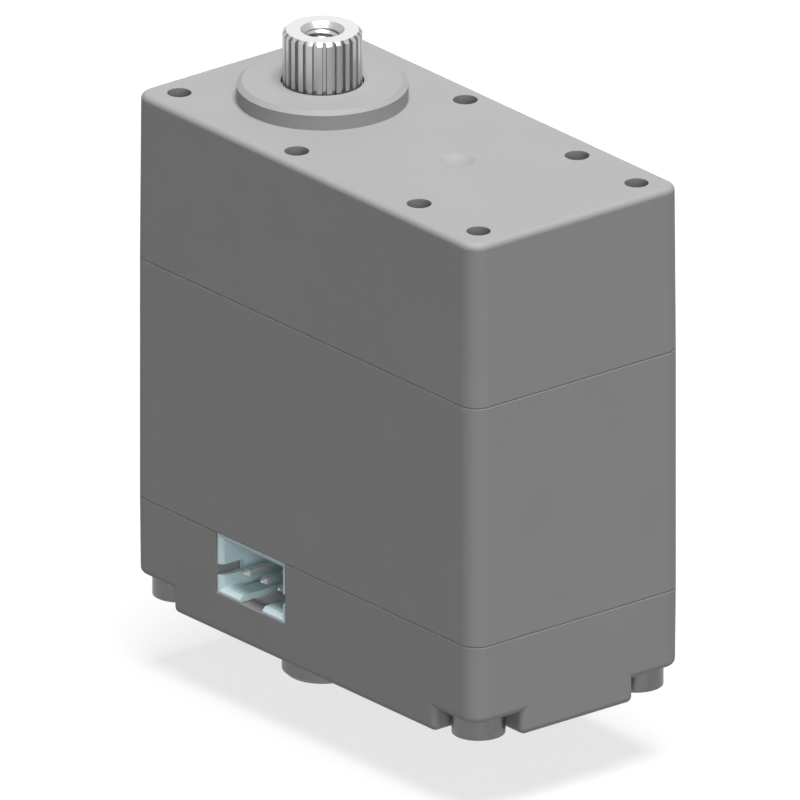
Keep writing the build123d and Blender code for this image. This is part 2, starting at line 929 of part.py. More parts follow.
def make_motor_magnets():
    inner = can_bore - magnet_thickness
    high = magnet_low + magnet_length
    arcs = [ring_sector(can_bore, inner, middle, magnet_arc, magnet_low, high) for middle in (0, 180)]
    return group([Pos(motor_x, 0, 0) * arc for arc in arcs])


def make_motor_shaft():
    top = first_high + level_gap / 2
    return rod(motor_shaft_diameter, end_cap_low + axial_play, top, motor_x)


def make_rotor_core():
    high = rotor_low + rotor_length
    core = rod(rotor_hub_diameter, rotor_low, high)
    reach = rotor_radius - pole_shoe
    for number in range(pole_count):
        turn = number * 360 / pole_count
        core += Rot(0, 0, turn) * block((0, -pole_width / 2, rotor_low), (reach, pole_width / 2, high))
        core += ring_sector(rotor_radius, reach, turn, pole_shoe_arc, rotor_low, high)
    return Pos(motor_x, 0, 0) * (core - rod(motor_shaft_diameter, rotor_low, high))


def make_rotor_coils():
    low, high = rotor_low - coil_end, rotor_low + rotor_length + coil_end
    near, far = rotor_hub_diameter / 2 + coil_gap, rotor_radius - pole_shoe - coil_gap
    half = pole_width / 2 + coil_depth
    coil = block((near, -half, low), (far, half, high))
    coil = fillet(coil.edges().filter_by(Axis.X), coil_end)
    coil &= rod(2 * far, low, high)
    coil -= block((near, -pole_width / 2, rotor_low), (far, pole_width / 2, rotor_low + rotor_length))
    turns = [number * 360 / pole_count for number in range(pole_count)]
    return group([Pos(motor_x, 0, 0) * Rot(0, 0, turn) * coil for turn in turns])


def make_commutator():
    high = commutator_low + commutator_length
    return tube(commutator_diameter, motor_shaft_diameter, commutator_low, high, motor_x)


def make_motor_screws():
    shank, head = motor_screw_diameter / 2, motor_screw_head / 2
    tip = deck_under - motor_screw_reach
    head_top = top_base + motor_screw_head_height
    corners = [(0, tip), (shank, tip), (shank, top_base), (head, top_base), (head, head_top), (0, head_top)]
    return group([turned(corners, x, y) for x, y in motor_screw_spots])


# The control board and what stands on it


def make_control_board():
    board = case_prism(side_wall + board_margin, board_low, board_high)
    cut = notch_side + side_wall + board_margin
    board -= [corner_box(spot, cut, board_low, board_high) for spot in screw_spots]
    board -= [rod(pin_hole_diameter, board_low, board_high, x, pin_bend) for x in pin_places]
    slot_length, slot_width = terminal_width + board_slot_gap, terminal_thickness + board_slot_gap
    for side in (-1, 1):
        board -= slab(slot_length, slot_width, board_low, board_high, motor_x, side * terminal_radius)
    return board


def on_board(length, width, height, spots):
    return [slab(length, width, board_high, board_high + height, x, y) for x, y in spots]


def make_controller_chip():
    return on_board(controller_size, controller_size, controller_height, [controller_spot])[0]


def make_driver_chips():
    return group(on_board(driver_width, driver_length, driver_height, driver_spots))


def make_chip_resistors():
    return group(on_board(resistor_length, resistor_width, resistor_height, resistor_spots))


def make_capacitor():
    x, y = capacitor_x, half_width - capacitor_inset
    can = rod(capacitor_diameter, board_high, board_high + capacitor_height, x, y)
    return fillet(can.faces().sort_by(Axis.Z)[-1].edges(), capacitor_edge)


# The connector


def make_header_shell():
    low_z, high_z = board_high, header_top
    floor_z, roof_z = low_z + header_wall, high_z - header_wall
    left, right = header_left + header_wall, header_right - header_wall
    cavity_back = header_front + header_cavity_depth
    shell = block((header_left, header_front, low_z), (header_right, header_back, high_z))
    shell -= block((left, header_front, floor_z), (right, cavity_back, roof_z))
    mouth_plane = Plane((header_x, header_front, (low_z + high_z) / 2), x_dir=(1, 0, 0), z_dir=(0, 1, 0))
    mouth_width = header_width - 2 * header_wall + 2 * header_chamfer
    mouth_height = header_height - 2 * header_wall + 2 * header_chamfer
    shell -= extrude(mouth_plane * Rectangle(mouth_width, mouth_height), header_chamfer, taper=45)
    slot_back = header_front + header_slot_depth
    slot_low, slot_high = low_z + header_slot_low, low_z + header_slot_high
    shell -= block((header_left, header_front, slot_low), (header_right, slot_back, slot_high))
    groove_front = header_front + header_groove_start
    for x in (left, right - header_groove_width):
        shell -= block((x, groove_front, low_z), (x + header_groove_width, cavity_back, floor_z))
    cut_left, cut_right = header_x - header_cut_width / 2, header_x + header_cut_width / 2
    shell -= block((cut_left, header_front, low_z), (cut_right, header_front + header_cut_depth, floor_z))
    half_pin = pin_size / 2
    for x in pin_places:
        pin_low, pin_high = pin_z - half_pin, pin_z + half_pin
        shell -= block((x - half_pin, cavity_back, pin_low), (x + half_pin, header_back, pin_high))
    return shell


def make_header_pins():
    """Square pins, pointed at the front and bent down through the board."""
    half = pin_size / 2
    pins = []
    for x in pin_places:
        shoulder = pin_tip + pin_point
        pin = block((x - half, shoulder, pin_z - half), (x + half, pin_bend + half, pin_z + half))
        pin += block((x - half, pin_bend - half, board_low - pin_tail), (x + half, pin_bend + half, pin_z))
        tip_plane = Plane((x, shoulder, pin_z), x_dir=(1, 0, 0), z_dir=(0, -1, 0))
        pin += extrude(tip_plane * Rectangle(pin_size, pin_size), pin_point, taper=pin_point_angle)
        pins.append(pin)
    return group(pins)


# The position sensor


def make_sensor_magnet():
    return rod(sensor_magnet_diameter, sensor_magnet_low, stem_low)


def make_sensor_chip():
    return slab(sensor_chip_size, sensor_chip_size, sensor_board_high, sensor_chip_high)


def make_sensor_board():
    board = slab(sensor_board_length, sensor_board_width, sensor_board_low, sensor_board_high)
    return board - rods(sensor_screw_hole, sensor_board_low, sensor_board_high, sensor_post_spots)


def make_sensor_screws():
    core, head = sensor_screw_core / 2, sensor_screw_head / 2
    head_low = sensor_board_low - sensor_screw_head_height
    tip = sensor_board_high + sensor_screw_reach
    under = sensor_board_low
    corners = [(0, head_low), (head, head_low), (head, under), (core, under), (core, tip), (0, tip)]
    return group([turned(corners, x, y) for x, y in sensor_post_spots])


def make_sensor_ribbon():
    """A flat flexible strip down the end wall, soldered under one board and on top of the other."""
    half = ribbon_thickness / 2
    wall = near_end + side_wall + lip_clearance + lip_thickness + ribbon_gap + half
    top, bottom = sensor_board_low - half, board_high + half
    top_end = ribbon_foot - sensor_board_length / 2
    turns = [(top_end, 0, top), (wall, 0, top), (wall, 0, bottom), (wall + ribbon_foot, 0, bottom)]
    route = FilletPolyline(*turns, radius=ribbon_bend)
    section = Plane(route @ 0, x_dir=(0, 1, 0), z_dir=route % 0) * Rectangle(ribbon_width, ribbon_thickness)
    return sweep(section, path=route)


# The idler post


def make_idler_post():
    radius, neck, flange = idler_diameter / 2, idler_neck_diameter / 2, idler_flange_diameter / 2
    bore, mouth = idler_bore / 2, idler_mouth / 2
    end, bore_end = -idler_length, idler_bore_depth - idler_length
    flange_low = floor_plate - idler_flange
    return turned(
        [
            (mouth, end),
            (radius - idler_chamfer, end),
            (radius, end + idler_chamfer),
            (radius, 0),
            (neck, 0),
            (neck, flange_low),
            (flange, flange_low),
            (flange, floor_plate),
            (0, floor_plate),
            (0, bore_end),
            (bore, bore_end),
            (bore, end + mouth - bore),
        ]
    )


# Every piece, in the order in which the servo goes together
pieces = {
    "bottom_cover": make_bottom_cover,
    "idler_post": make_idler_post,
    "control_board": make_control_board,
    "controller_chip": make_controller_chip,
    "driver_chips": make_driver_chips,
    "chip_resistors": make_chip_resistors,
    "capacitor": make_capacitor,
    "header_shell": make_header_shell,
    "header_pins": make_header_pins,
    "middle_case": make_middle_case,
    "output_bush": make_output_bush,
    "sensor_board": make_sensor_board,
    "sensor_chip": make_sensor_chip,
    "sensor_screws": make_sensor_screws,
    "sensor_ribbon": make_sensor_ribbon,
    "motor_can": make_motor_can,
    "motor_magnets": make_motor_magnets,
    "motor_end_cap": make_motor_end_cap,
    "motor_bushes": make_motor_bushes,
    "motor_brushes": make_motor_brushes,
    "motor_terminals": make_motor_terminals,
    "motor_screws": make_motor_screws,
    "motor_shaft": make_motor_shaft,
    "rotor_core": make_rotor_core,
    "rotor_coils": make_rotor_coils,
    "commutator": make_commutator,
    "motor_pinion": make_motor_pinion,
    "gear_pin": make_gear_pin,
    "pin_washers": make_pin_washers,
    "first_wheel": make_first_wheel,
    "first_pinion": make_first_pinion,
    "second_wheel": make_second_wheel,
    "second_pinion": make_second_pinion,
    "third_wheel": make_third_wheel,
    "third_pinion": make_third_pinion,
    "output_wheel": make_output_wheel,
    "output_shaft": make_output_shaft,
    "sensor_magnet": make_sensor_magnet,
    "bearing_inner_ring": make_bearing_inner_ring,
    "bearing_balls": make_bearing_balls,
    "bearing_cage": make_bearing_cage,
    "bearing_outer_ring": make_bearing_outer_ring,
    "top_case": make_top_case,
    "case_screws": make_case_screws,
}

for name, make in pieces.items():
    export_step(make(), f"parts/{name}.step")
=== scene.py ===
import math

import bpy
from mathutils import Matrix, Vector


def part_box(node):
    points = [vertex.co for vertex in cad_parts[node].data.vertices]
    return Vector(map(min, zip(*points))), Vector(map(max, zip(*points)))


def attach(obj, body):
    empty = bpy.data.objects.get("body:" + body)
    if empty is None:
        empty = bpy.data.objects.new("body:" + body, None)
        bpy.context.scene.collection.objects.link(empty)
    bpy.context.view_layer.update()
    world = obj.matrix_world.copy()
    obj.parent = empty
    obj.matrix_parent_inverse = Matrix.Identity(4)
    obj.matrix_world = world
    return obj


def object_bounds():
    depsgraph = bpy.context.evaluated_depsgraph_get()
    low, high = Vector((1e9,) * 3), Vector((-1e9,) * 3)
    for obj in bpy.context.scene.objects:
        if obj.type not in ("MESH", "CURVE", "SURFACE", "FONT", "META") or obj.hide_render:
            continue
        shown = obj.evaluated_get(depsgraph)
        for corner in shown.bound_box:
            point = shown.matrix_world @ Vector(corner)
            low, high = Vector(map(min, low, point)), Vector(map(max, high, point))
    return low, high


# Lengths are in metres, and +Z points up the output shaft from the underside of the case.
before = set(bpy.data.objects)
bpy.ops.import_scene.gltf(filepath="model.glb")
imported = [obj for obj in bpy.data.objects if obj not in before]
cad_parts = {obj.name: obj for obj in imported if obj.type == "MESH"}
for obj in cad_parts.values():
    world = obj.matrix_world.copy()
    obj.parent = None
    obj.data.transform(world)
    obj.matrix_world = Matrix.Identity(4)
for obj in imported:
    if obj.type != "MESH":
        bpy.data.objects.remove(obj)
cad_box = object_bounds()


# Bottom cover
# The lowest of the three layers of the case, moulded in grey plastic in one shot with its corner
# notches and the opening for the socket. It closes the servo, and four long screws hold it on.

case_grey = (0.285, 0.285, 0.285)
case_grain = 0.00016
case_grain_height = 0.000006
case_cloud = 0.006
cloud_contrast = 0.015
noise_low = 0.3
noise_high = 0.7


def piece_material(name, roughness, metallic=0.0, specular=0.5):
    """A node material for one kind of finish, with its even values set on the shader itself."""
    material = bpy.data.materials.new(name)
    material.use_nodes = True
    shader = material.node_tree.nodes["Principled BSDF"]
    shader.inputs["Roughness"].default_value = roughness
    shader.inputs["Metallic"].default_value = metallic
    shader.inputs["Specular IOR Level"].default_value = specular
    return material


def shader_input(material, name):
    return material.node_tree.nodes["Principled BSDF"].inputs[name]


def add(material, kind, **values):
    """Adds a node with some inputs set. A double underscore is a space in an input's name."""
    node = material.node_tree.nodes.new(kind)
    for name, value in values.items():
        node.inputs[name.replace("__", " ")].default_value = value
    return node


def link(material, output, target):
    material.node_tree.links.new(output, target)


def ranged(material, value, **limits):
    """A value carried over from one range to another, and held inside it."""
    node = add(material, "ShaderNodeMapRange", **limits)
    link(material, value, node.inputs["Value"])
    return node.outputs["Result"]


def grains(material, across, detail=2.0):
    """Noise with grains about that many metres across, fixed to the piece."""
    place = add(material, "ShaderNodeTexCoord")
    noise = add(material, "ShaderNodeTexNoise", Scale=1 / across, Detail=detail)
    link(material, place.outputs["Object"], noise.inputs["Vector"])
    return noise.outputs["Fac"]


def shade_of(colour, factor):
    return tuple(channel * factor for channel in colour)


def colours(material, level, *stops):
    """Runs the base colour through (place, colour) stops along a level from zero to one."""
    ramp = add(material, "ShaderNodeValToRGB")
    first, last = ramp.color_ramp.elements
    first.position, first.color = stops[0][0], (*stops[0][1], 1)
    last.position, last.color = stops[-1][0], (*stops[-1][1], 1)
    for place, colour in stops[1:-1]:
        ramp.color_ramp.elements.new(place).color = (*colour, 1)
    link(material, level, ramp.inputs["Fac"])
    link(material, ramp.outputs["Color"], shader_input(material, "Base Color"))


def roughness_between(material, level, smooth, rough):
    """Lets the roughness wander between two values with the grain."""
    roughness = ranged(material, level, To__Min=smooth, To__Max=rough)
    link(material, roughness, shader_input(material, "Roughness"))


def relief(material, level, height):
    """Raises the surface with the grain, by that many metres."""
    bump = add(material, "ShaderNodeBump", Distance=height)
    link(material, level, bump.inputs["Height"])
    link(material, bump.outputs["Normal"], shader_input(material, "Normal"))


def moulded(name, colour, grain, cloud, height, smooth, rough, specular=0.35):
    """Injection-moulded plastic: a spark-eroded grain, and faint clouds where the melt flowed."""
    material = piece_material(name, (smooth + rough) / 2, specular=specular)
    dark = shade_of(colour, 1 - cloud_contrast)
    light = shade_of(colour, 1 + cloud_contrast)
    colours(material, grains(material, cloud, 3.0), (noise_low, dark), (noise_high, light))
    texture = grains(material, grain, 4.0)
    roughness_between(material, texture, smooth, rough)
    relief(material, texture, height)
    return material


def dress(material, *nodes):
    """Gives pieces of the CAD model their finish."""
    for node in nodes:
        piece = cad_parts[node]
        piece.data.materials.clear()
        piece.data.materials.append(material)


case_plastic = moulded(
    "case_plastic",
    case_grey,
    grain=case_grain,
    cloud=case_cloud,
    height=case_grain_height,
    smooth=0.5,
    rough=0.72,
)
dress(case_plastic, "bottom_cover")


# Idler post
# A turned steel insert, put in from inside the bottom cover before the board goes in. A flange
# holds it against the floor of the case, and an M3 thread takes the screw of the idler horn.

post_steel = (0.20, 0.20, 0.203)
turning_pitch = 0.00009
turning_height = 0.000003
worn_patch = 0.0015
worn_shade = 0.93
clean_shade = 1.04
# Where a turned piece's end starts to get painted light, and how little of the worn tone its sides
# keep under painted shade.
painted_lit_end_from = 0.85
painted_side_wear_share = 0.1


def maths(material, operation, *values):
    """One step of arithmetic on plain numbers and the outputs of other nodes."""
    node = add(material, "ShaderNodeMath")
    node.operation = operation
    for socket, value in zip(node.inputs, values):
        if isinstance(value, bpy.types.NodeSocket):
            link(material, value, socket)
        else:
            socket.default_value = value
    return node.outputs["Value"]


def vector_step(material, operation, vector, other=(0, 0, 0)):
    """One step of arithmetic on a place or a direction."""
    node = add(material, "ShaderNodeVectorMath")
    node.operation = operation
    node.inputs[1].default_value = other
    link(material, vector, node.inputs[0])
    return node.outputs["Value" if operation == "LENGTH" else "Vector"]


def upright_part(material, vector):
    parts = add(material, "ShaderNodeSeparateXYZ")
    link(material, vector, parts.inputs["Vector"])
    return parts.outputs["Z"]


def painted_lit_ends(material, place, tone_level):
    """Painted light by facing: sends the end that faces up to the light end of the colours as
    painted light, and keeps so little of the worn tone on the sides that they go to the dark end,
    as painted shade.
    """
    facing_up = upright_part(material, place.outputs["Normal"])
    painted_lit_end_mask = ranged(material, facing_up, From__Min=painted_lit_end_from)
    return maths(material, "MULTIPLY_ADD", tone_level, painted_side_wear_share, painted_lit_end_mask)


def turned(name, colour, smooth, rough, axis_x=0.0, height=turning_height, sides=1.0):
    """Metal turned about an upright axis: fine rings on the ends, and fine lines round the sides.

    A side shade below one paints shade on the upright faces, darker than the ends, and paints
    light on the end that faces up.
    """
    material = piece_material(name, (smooth + rough) / 2, metallic=1.0)
    place = add(material, "ShaderNodeTexCoord")
    centred = vector_step(material, "ADD", place.outputs["Object"], (-axis_x, 0, 0))
    radius = vector_step(material, "LENGTH", vector_step(material, "MULTIPLY", centred, (1, 1, 0)))
    along_cut = maths(material, "ADD", radius, upright_part(material, place.outputs["Object"]))
    marks = add(material, "ShaderNodeTexNoise", Scale=1 / turning_pitch, Detail=3.0)
    marks.noise_dimensions = "1D"
    link(material, along_cut, marks.inputs["W"])
    tone_level = grains(material, worn_patch, 3.0)
    # A side shade below one brings in painted light on the end that faces up and painted shade on
    # the sides.
    if sides < 1.0:
        tone_level = painted_lit_ends(material, place, tone_level)
    dark = shade_of(colour, worn_shade * sides)
    colours(material, tone_level, (noise_low, dark), (noise_high, shade_of(colour, clean_shade)))
    roughness_between(material, marks.outputs["Fac"], smooth, rough)
    relief(material, marks.outputs["Fac"], height)
    return material


screw_hole_radius = 0.00125
thread_pitch = 0.0005
thread_ridge = 0.00018
thread_sink = 0.00003
thread_flank = 0.42
thread_steps = 40
post_thread_start = 0.0005
post_thread_length = 0.0045


def made_piece(name, points, faces):
    """A new object from its points and faces."""
    mesh = bpy.data.meshes.new(name)
    mesh.from_pydata(points, [], faces)
    mesh.validate()
    mesh.update()
    piece = bpy.data.objects.new(name, mesh)
    bpy.context.scene.collection.objects.link(piece)
    return piece


def thread(name, low, high, radius, ridge, pitch=thread_pitch, axes=((0.0, 0.0),)):
    """The ridge of a thread on each of some upright axes, fading out at both ends.

    A ridge above zero stands out of a screw, and one below zero out of the wall of a hole. Its
    section is a triangle, whose foot is sunk a little into the metal.
    """
    sink = math.copysign(thread_sink, ridge)
    half_foot = thread_flank * pitch
    steps = int((high - low) / pitch * thread_steps)
    points, faces = [], []
    for axis_x, axis_y in axes:
        first = len(points)
        for step in range(steps + 1):
            angle = 2 * math.pi * step / thread_steps
            middle = low + pitch * step / thread_steps
            full = min(1.0, 2 * step / thread_steps, 2 * (steps - step) / thread_steps)
            for reach, rise in ((-sink, -half_foot), (ridge * full, 0.0), (-sink, half_foot)):
                x = (radius + reach) * math.cos(angle)
                y = (radius + reach) * math.sin(angle)
                points.append((axis_x + x, axis_y + y, middle + rise))
        last = first + 3 * steps
        for start in range(first, last, 3):
            for corner in range(3):
                after = (corner + 1) % 3
                ahead = start + 3
                faces.append((start + corner, ahead + corner, ahead + after, start + after))
        faces.append((first + 2, first + 1, first))
        faces.append((last, last + 1, last + 2))
    if ridge > 0:
        faces = [face[::-1] for face in faces]
    return made_piece(name, points, faces)


post_finish = turned("post_steel", post_steel, smooth=0.38, rough=0.52)
dress(post_finish, "idler_post")
post_thread_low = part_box("idler_post")[0].z + post_thread_start
idler_thread = thread(
    "idler_screw_thread",
    post_thread_low,
    post_thread_low + post_thread_length,
    screw_hole_radius,
    -thread_ridge,
)
idler_thread.data.materials.append(post_finish)
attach(idler_thread, "case")


# Control board
# A four-layer glass-fibre board that drops onto four rests in the bottom cover. Its mask is pale,
# the copper under it shows as slightly darker tracks, and it carries the socket and the chips.

board_mask = (0.80, 0.735, 0.74)
board_track = (0.70, 0.62, 0.625)
board_via = (0.52, 0.51, 0.50)
board_weave = 0.0003
track_grid = 0.0009
track_height = 0.00002
track_width_share = 0.09
track_length_share = 3.1
track_row_share = 0.55
track_row_shift = 0.37
track_patch = 0.0016
bare_patch_edge = 0.5
full_patch_edge = 0.53
via_grid = 0.0019
via_scatter = 0.8
via_rim_share = 0.15
via_top_share = 0.12


def laminate(name):
    """Circuit board: the glass cloth's weave, short tracks that stand a little proud, and vias."""
    material = piece_material(name, roughness=0.42, specular=0.45)
    place = add(material, "ShaderNodeTexCoord")
    lines = add(
        material,
        "ShaderNodeTexBrick",
        Scale=1 / track_grid,
        Mortar__Size=track_width_share,
        Brick__Width=track_length_share,
        Row__Height=track_row_share,
    )
    lines.offset = track_row_shift
    link(material, place.outputs["Object"], lines.inputs["Vector"])
    patches = grains(material, track_patch, 0.0)
    routed = ranged(material, patches, From__Min=bare_patch_edge, From__Max=full_patch_edge)
    tracks = maths(material, "MULTIPLY", lines.outputs["Fac"], routed)
    spots = add(material, "ShaderNodeTexVoronoi", Scale=1 / via_grid, Randomness=via_scatter)
    spots.voronoi_dimensions = "2D"
    link(material, place.outputs["Object"], spots.inputs["Vector"])
    vias = ranged(
        material,
        spots.outputs["Distance"],
        From__Min=via_rim_share,
        From__Max=via_top_share,
        To__Max=2.0,
    )
    # A track counts as one and a via as two, and half of that is the place in the colours.
    copper = maths(material, "MULTIPLY", maths(material, "MAXIMUM", tracks, vias), 0.5)
    colours(material, copper, (0.0, board_mask), (0.5, board_track), (1.0, board_via))
    roughness_between(material, grains(material, board_weave), 0.34, 0.5)
    relief(material, tracks, track_height)
    return material


board_finish = laminate("board")
dress(board_finish, "control_board")


# Chips, resistors and capacitor
# The controller, two motor drivers and a few small resistors, soldered flat to the board, and one
# upright electrolytic capacitor in a drawn aluminium can.

chip_black = (0.022, 0.022, 0.024)
can_aluminium = (0.62, 0.625, 0.64)


def middle_x(node):
    low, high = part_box(node)
    return (low.x + high.x) / 2


chip_finish = moulded(
    "chip_plastic",
    chip_black,
    grain=0.00005,
    cloud=0.001,
    height=0.000004,
    smooth=0.45,
    rough=0.6,
    specular=0.5,
)
dress(chip_finish, "controller_chip", "driver_chips", "chip_resistors")
capacitor_finish = turned(
    "capacitor_can",
    can_aluminium,
    smooth=0.3,
    rough=0.42,
    axis_x=middle_x("capacitor"),
)
dress(capacitor_finish, "capacitor")


# Socket shell
# The shroud round the three pins, moulded in a hard, slightly glossy pale blue-grey nylon. It
# stands on the board and shows through the opening in the bottom cover.

shroud_blue = (0.66, 0.82, 0.85)
shroud_finish = moulded(
    "header_plastic",
    shroud_blue,
    grain=0.00025,
    cloud=0.003,
    height=0.000003,
    smooth=0.28,
    rough=0.4,
    specular=0.5,
)
dress(shroud_finish, "header_shell")


# Socket pins
# Three square tinned bronze pins with pointed tips, pressed through the shroud and bent down into
# the board.

pin_tin = (0.80, 0.80, 0.79)
pin_metallic = 0.5
plating_cloud = 0.0003
plating_height = 0.000002
dull_shade = 0.9
plated_shade = 1.03


def plated(name, colour, smooth, rough, cloud=plating_cloud, height=plating_height):
    """Wire or sheet with a thin plated skin: soft clouds and small dulled spots."""
    material = piece_material(name, (smooth + rough) / 2, metallic=1.0)
    clouds = grains(material, cloud, 3.0)
    dull, bright = shade_of(colour, dull_shade), shade_of(colour, plated_shade)
    colours(material, clouds, (noise_low, dull), (noise_high, bright))
    roughness_between(material, clouds, smooth, rough)
    relief(material, clouds, height)
    return material


pin_finish = plated("pin_metal", pin_tin, smooth=0.32, rough=0.48)
shader_input(pin_finish, "Metallic").default_value = pin_metallic
dress(pin_finish, "header_pins")


# Solder joints
# Fillets of tin solder under the control board, round the tails of the three pins and of the
# motor's two terminals. They hold the socket and the motor to the board.

solder_tin = (0.70, 0.70, 0.71)
solder_spread = 0.00038
solder_rise = 0.00034
solder_rings = 7
solder_sides = 28
half_pin = 0.00025
half_terminal_width = 0.0007
half_terminal_thickness = 0.0002


def solder_fillets(name, board_low, tails):
    """Hollowed cones from under the board down to its tails: (x, y, half length, half width)."""
    points, faces = [], []
    for x, y, half_x, half_y in tails:
        first = len(points)
        for ring in range(solder_rings):
            down = ring / (solder_rings - 1)
            spread = solder_spread * (1 - down) ** 2
            for side in range(solder_sides):
                angle = 2 * math.pi * side / solder_sides
                across = (half_x + spread) * math.cos(angle)
                along = (half_y + spread) * math.sin(angle)
                points.append((x + across, y + along, board_low - solder_rise * down))
        for upper in range(first, first + solder_sides * (solder_rings - 1), solder_sides):
            lower = upper + solder_sides
            for side in range(solder_sides):
                after = (side + 1) % solder_sides
                faces.append((upper + after, upper + side, lower + side, lower + after))
        faces.append(tuple(range(first, first + solder_sides)))
        faces.append(tuple(range(len(points) - 1, len(points) - 1 - solder_sides, -1)))
    return made_piece(name, points, faces)


pins_low, pins_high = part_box("header_pins")
pin_xs = (pins_low.x + half_pin, middle_x("header_pins"), pins_high.x - half_pin)
solder_tails = [(x, pins_high.y - half_pin, half_pin, half_pin) for x in pin_xs]
terminals_low, terminals_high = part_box("motor_terminals")
terminal_x = middle_x("motor_terminals")
for y in (terminals_low.y + half_terminal_thickness, terminals_high.y - half_terminal_thickness):
    solder_tails.append((terminal_x, y, half_terminal_width, half_terminal_thickness))
solder = solder_fillets("solder_joints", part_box("control_board")[0].z, solder_tails)
solder.data.materials.append(plated("solder", solder_tin, smooth=0.16, rough=0.34))
for face in solder.data.polygons:
    face.use_smooth = True
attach(solder, "case")


# Middle case
# The tall layer of the case, in the same grey plastic. The motor hangs from its deck, the position
# sensor is screwed up under it, and its rims locate the two other layers.

dress(case_plastic, "middle_case")


# Output bush
# A sintered bronze bush with a flange, pressed up into the deck. The stem of the output shaft
# turns in it.

bush_bronze = (0.42, 0.23, 0.10)
powder_grain = 0.00012
powder_height = 0.000008
pore_level = 0.35
pressed_level = 0.55
rubbed_level = 0.8
pore_shade = 0.7
rubbed_shade = 1.1


def sintered(name, colour, smooth, rough, grain=powder_grain):
    """Pressed and sintered metal powder: open pores between the grains."""
    material = piece_material(name, (smooth + rough) / 2, metallic=1.0)
    pores = grains(material, grain, 4.0)
    dark, rubbed = shade_of(colour, pore_shade), shade_of(colour, rubbed_shade)
    colours(material, pores, (pore_level, dark), (pressed_level, colour), (rubbed_level, rubbed))
    roughness_between(material, pores, smooth, rough)
    relief(material, pores, powder_height)
    return material


bronze_finish = sintered("bronze", bush_bronze, smooth=0.32, rough=0.5)
dress(bronze_finish, "output_bush")


# Position sensor
# A small board under the deck with a magnetic angle sensor on it. Two screws hold it, the magnet
# on the end of the output shaft turns above it, and a flat strip joins it to the control board.

magnet_grey = (0.10, 0.10, 0.105)
magnet_grain = 0.0001
screw_black = (0.10, 0.10, 0.105)
sensor_head_radius = 0.0013
sensor_core_radius = 0.00065
sensor_ridge = 0.00014
sensor_tip_gap = 0.0003
film_orange = (0.50, 0.19, 0.03)
film_track = (0.62, 0.30, 0.06)
film_pitch = 0.0005
film_track_height = 0.00002


def wave_scale(pitch):
    """The scale at which Blender's wave texture has a band every so many metres."""
    return math.pi / (10 * pitch)


def film(name):
    """Flexible strip: amber film over copper tracks that run along it."""
    material = piece_material(name, roughness=0.25, specular=0.6)
    place = add(material, "ShaderNodeTexCoord")
    tracks = add(material, "ShaderNodeTexWave", Scale=wave_scale(film_pitch))
    tracks.bands_direction = "Y"
    link(material, place.outputs["Object"], tracks.inputs["Vector"])
    colours(material, tracks.outputs["Fac"], (0.4, film_orange), (0.6, film_track))
    relief(material, tracks.outputs["Fac"], film_track_height)
    return material


dress(board_finish, "sensor_board")
dress(chip_finish, "sensor_chip")
dress(film("ribbon_film"), "sensor_ribbon")
magnet_finish = sintered("magnet", magnet_grey, smooth=0.38, rough=0.55, grain=magnet_grain)
dress(magnet_finish, "sensor_magnet")
screw_finish = turned("black_steel", screw_black, smooth=0.3, rough=0.45)
dress(screw_finish, "sensor_screws")
sensor_screws_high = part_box("sensor_screws")[1]
sensor_screw_x = middle_x("sensor_screws")
sensor_screw_y = sensor_screws_high.y - sensor_head_radius
sensor_threads = thread(
    "sensor_screw_threads",
    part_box("sensor_board")[1].z,
    sensor_screws_high.z - sensor_tip_gap,
    sensor_core_radius,
    sensor_ridge,
    axes=((sensor_screw_x, -sensor_screw_y), (sensor_screw_x, sensor_screw_y)),
)
sensor_threads.data.materials.append(screw_finish)
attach(sensor_threads, "case")


# Motor
# A small brushed motor. Its drawn and zinc plated can holds two arc magnets, a black end cap
# carries the brushes and the terminals, and two screws through the deck hold it by its nose.

can_zinc = (0.50, 0.51, 0.53)
cap_black = (0.03, 0.03, 0.032)
motor_axis = middle_x("motor_can")
can_finish = turned("can_steel", can_zinc, smooth=0.24, rough=0.4, axis_x=motor_axis)
cap_finish = moulded(
    "end_cap_plastic",
    cap_black,
    grain=0.00015,
    cloud=0.003,
    height=0.000006,
    smooth=0.42,
    rough=0.6,
)
dress(can_finish, "motor_can")
dress(magnet_finish, "motor_magnets")
dress(cap_finish, "motor_end_cap")
dress(bronze_finish, "motor_bushes", "motor_brushes")
dress(pin_finish, "motor_terminals")
dress(screw_finish, "motor_screws")


# Rotor
# Three poles of stacked steel plates on the motor's shaft, each wound with enamelled copper wire,
# with the commutator below them and the brass pinion pressed on the top end.

wire_copper = (0.62, 0.23, 0.09)
wire_gap = (0.20, 0.05, 0.02)
wire_pitch = 0.00022
wire_height = 0.00006
plate_gap_shade = 0.4
plate_pitch = 0.00035
plate_height = 0.00002
gap_level = 0.15
crown_level = 0.6
shaft_steel = (0.70, 0.70, 0.71)
brass_yellow = (0.73, 0.50, 0.18)


def striped(name, gap, crown, pitch, height, smooth, rough, layout):
    """Bands of colour and height: BANDS for plates in a stack, RINGS for wires round the shaft."""
    material = piece_material(name, (smooth + rough) / 2, metallic=1.0)
    place = add(material, "ShaderNodeTexCoord")
    centred = vector_step(material, "ADD", place.outputs["Object"], (-motor_axis, 0, 0))
    bands = add(material, "ShaderNodeTexWave", Scale=wave_scale(pitch))
    bands.wave_type = layout
    bands.bands_direction = bands.rings_direction = "Z"
    link(material, centred, bands.inputs["Vector"])
    colours(material, bands.outputs["Fac"], (gap_level, gap), (crown_level, crown))
    roughness_between(material, bands.outputs["Fac"], rough, smooth)
    relief(material, bands.outputs["Fac"], height)
    return material


